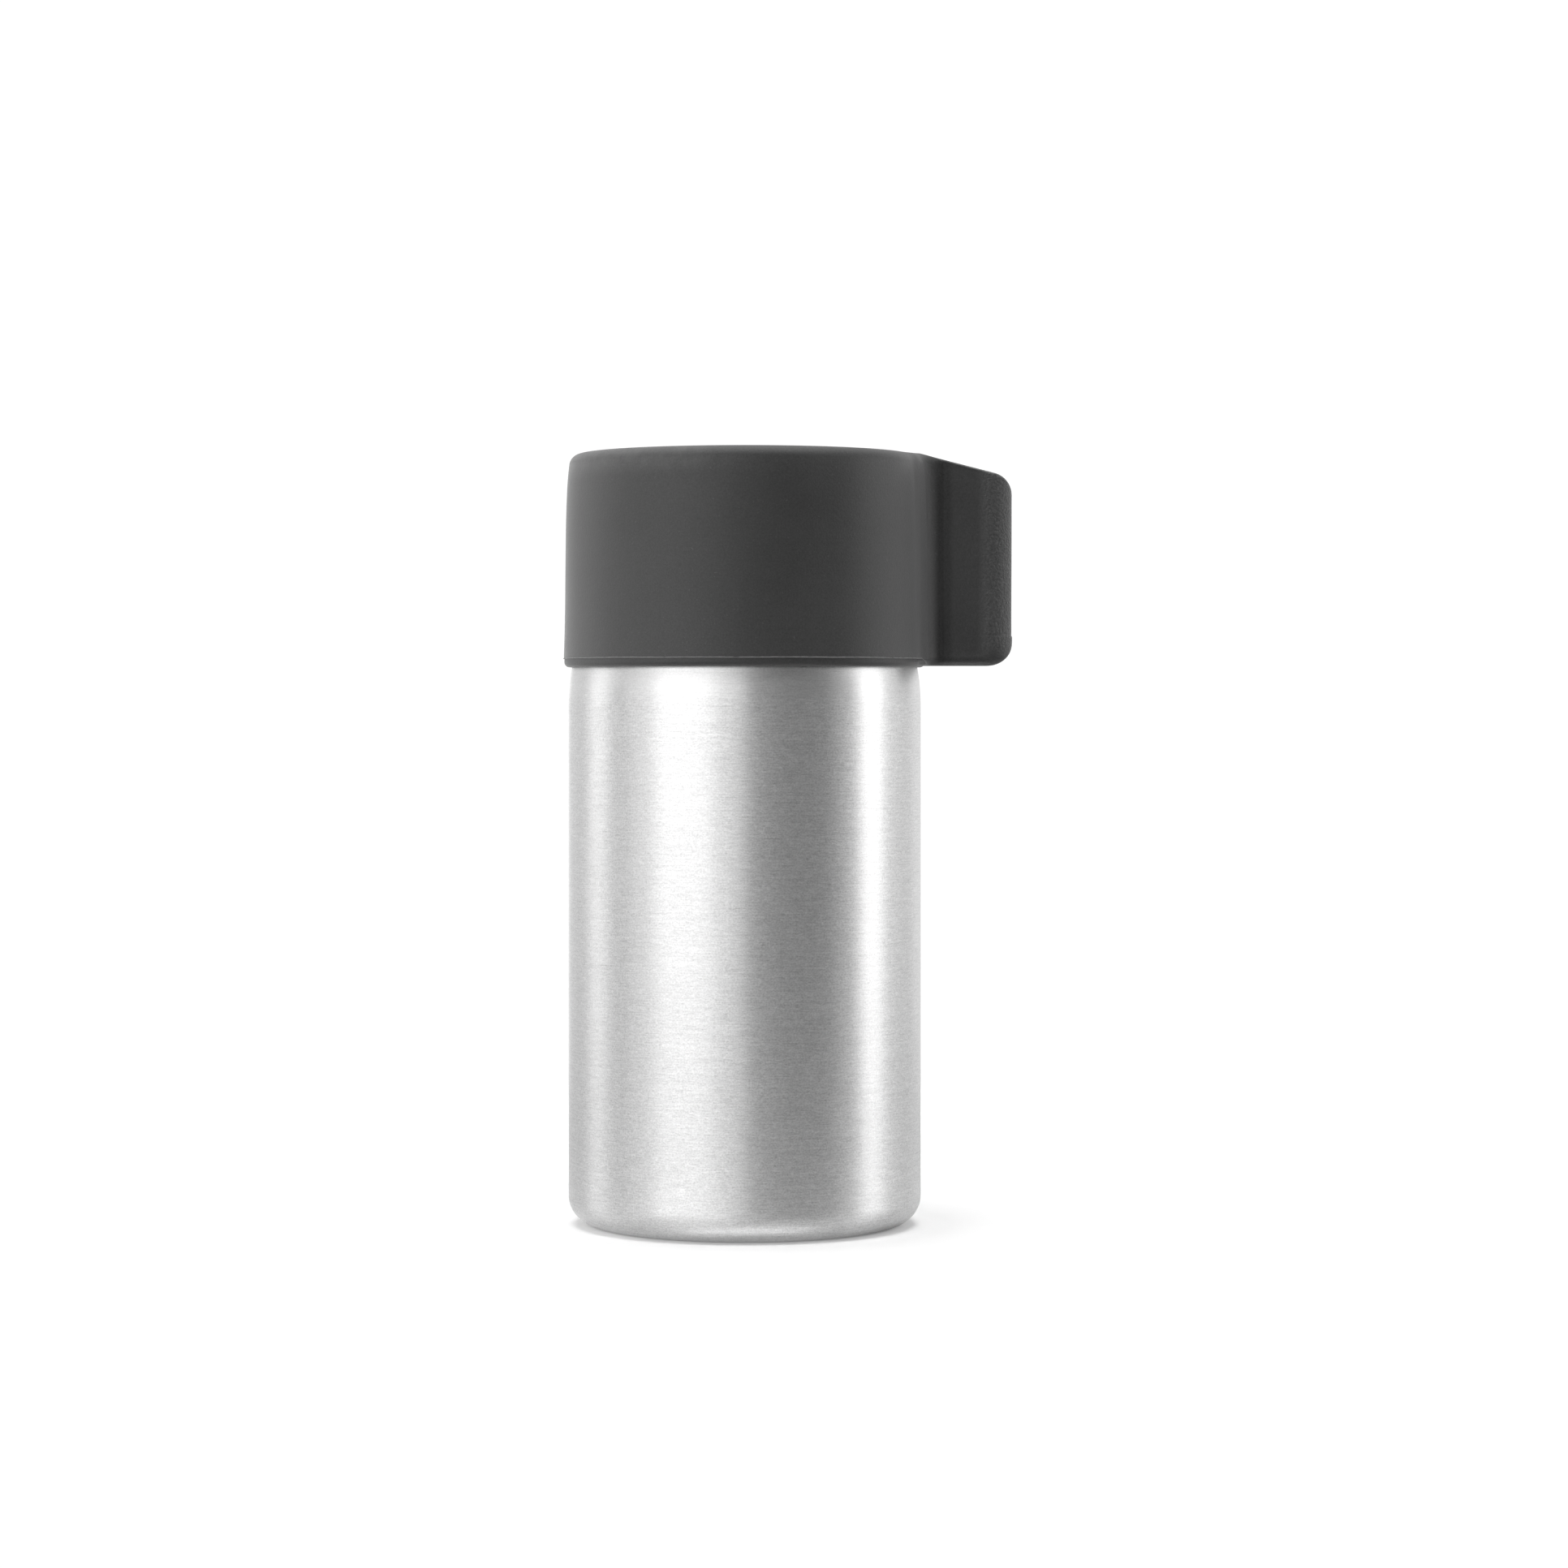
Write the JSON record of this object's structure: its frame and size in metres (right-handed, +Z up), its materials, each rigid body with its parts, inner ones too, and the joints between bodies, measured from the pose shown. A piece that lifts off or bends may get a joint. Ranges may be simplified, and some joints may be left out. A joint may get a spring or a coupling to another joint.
{
  "type": "travel canister",
  "caption": "Small metal travel canister with a screw lid: a hard threaded cap and sealing ring under a soft grip cover that has a side hanging loop.",
  "frame": {"origin": "on the can's axis, at the flat face that it stands on", "axes": "+Z up along the can's axis, towards the lid; +X towards the lid's side loop when the lid is screwed down; the pictured front faces -Y"},
  "size_m": [0.042, 0.0338, 0.072],
  "materials": {
    "can_metal": "satin",
    "cap_plastic": "satin",
    "seal_silicone": "matte",
    "cover_silicone": "matte"
  },
  "bodies": {
    "canister": {"canister_body": "can_metal"},
    "seal": {"cap_gasket": "seal_silicone"},
    "lid": {"inner_cap": "cap_plastic", "lid_cover": "cover_silicone"}
  },
  "joints": [
    {"name": "lid_lift", "type": "slide", "parent": "canister", "child": "seal", "axis": [0, 0, 1], "range_m": [0, 0.02]},
    {"name": "lid_turn", "type": "hinge", "parent": "seal", "child": "lid", "pos_m": [0, 0, 0.062], "axis": [0, 0, 1], "range_deg": [0, 1800]}
  ],
  "couplings": [
    {"joint": "lid_lift", "follows": "lid_turn", "m_per_rad": 0.00063662}
  ]
}
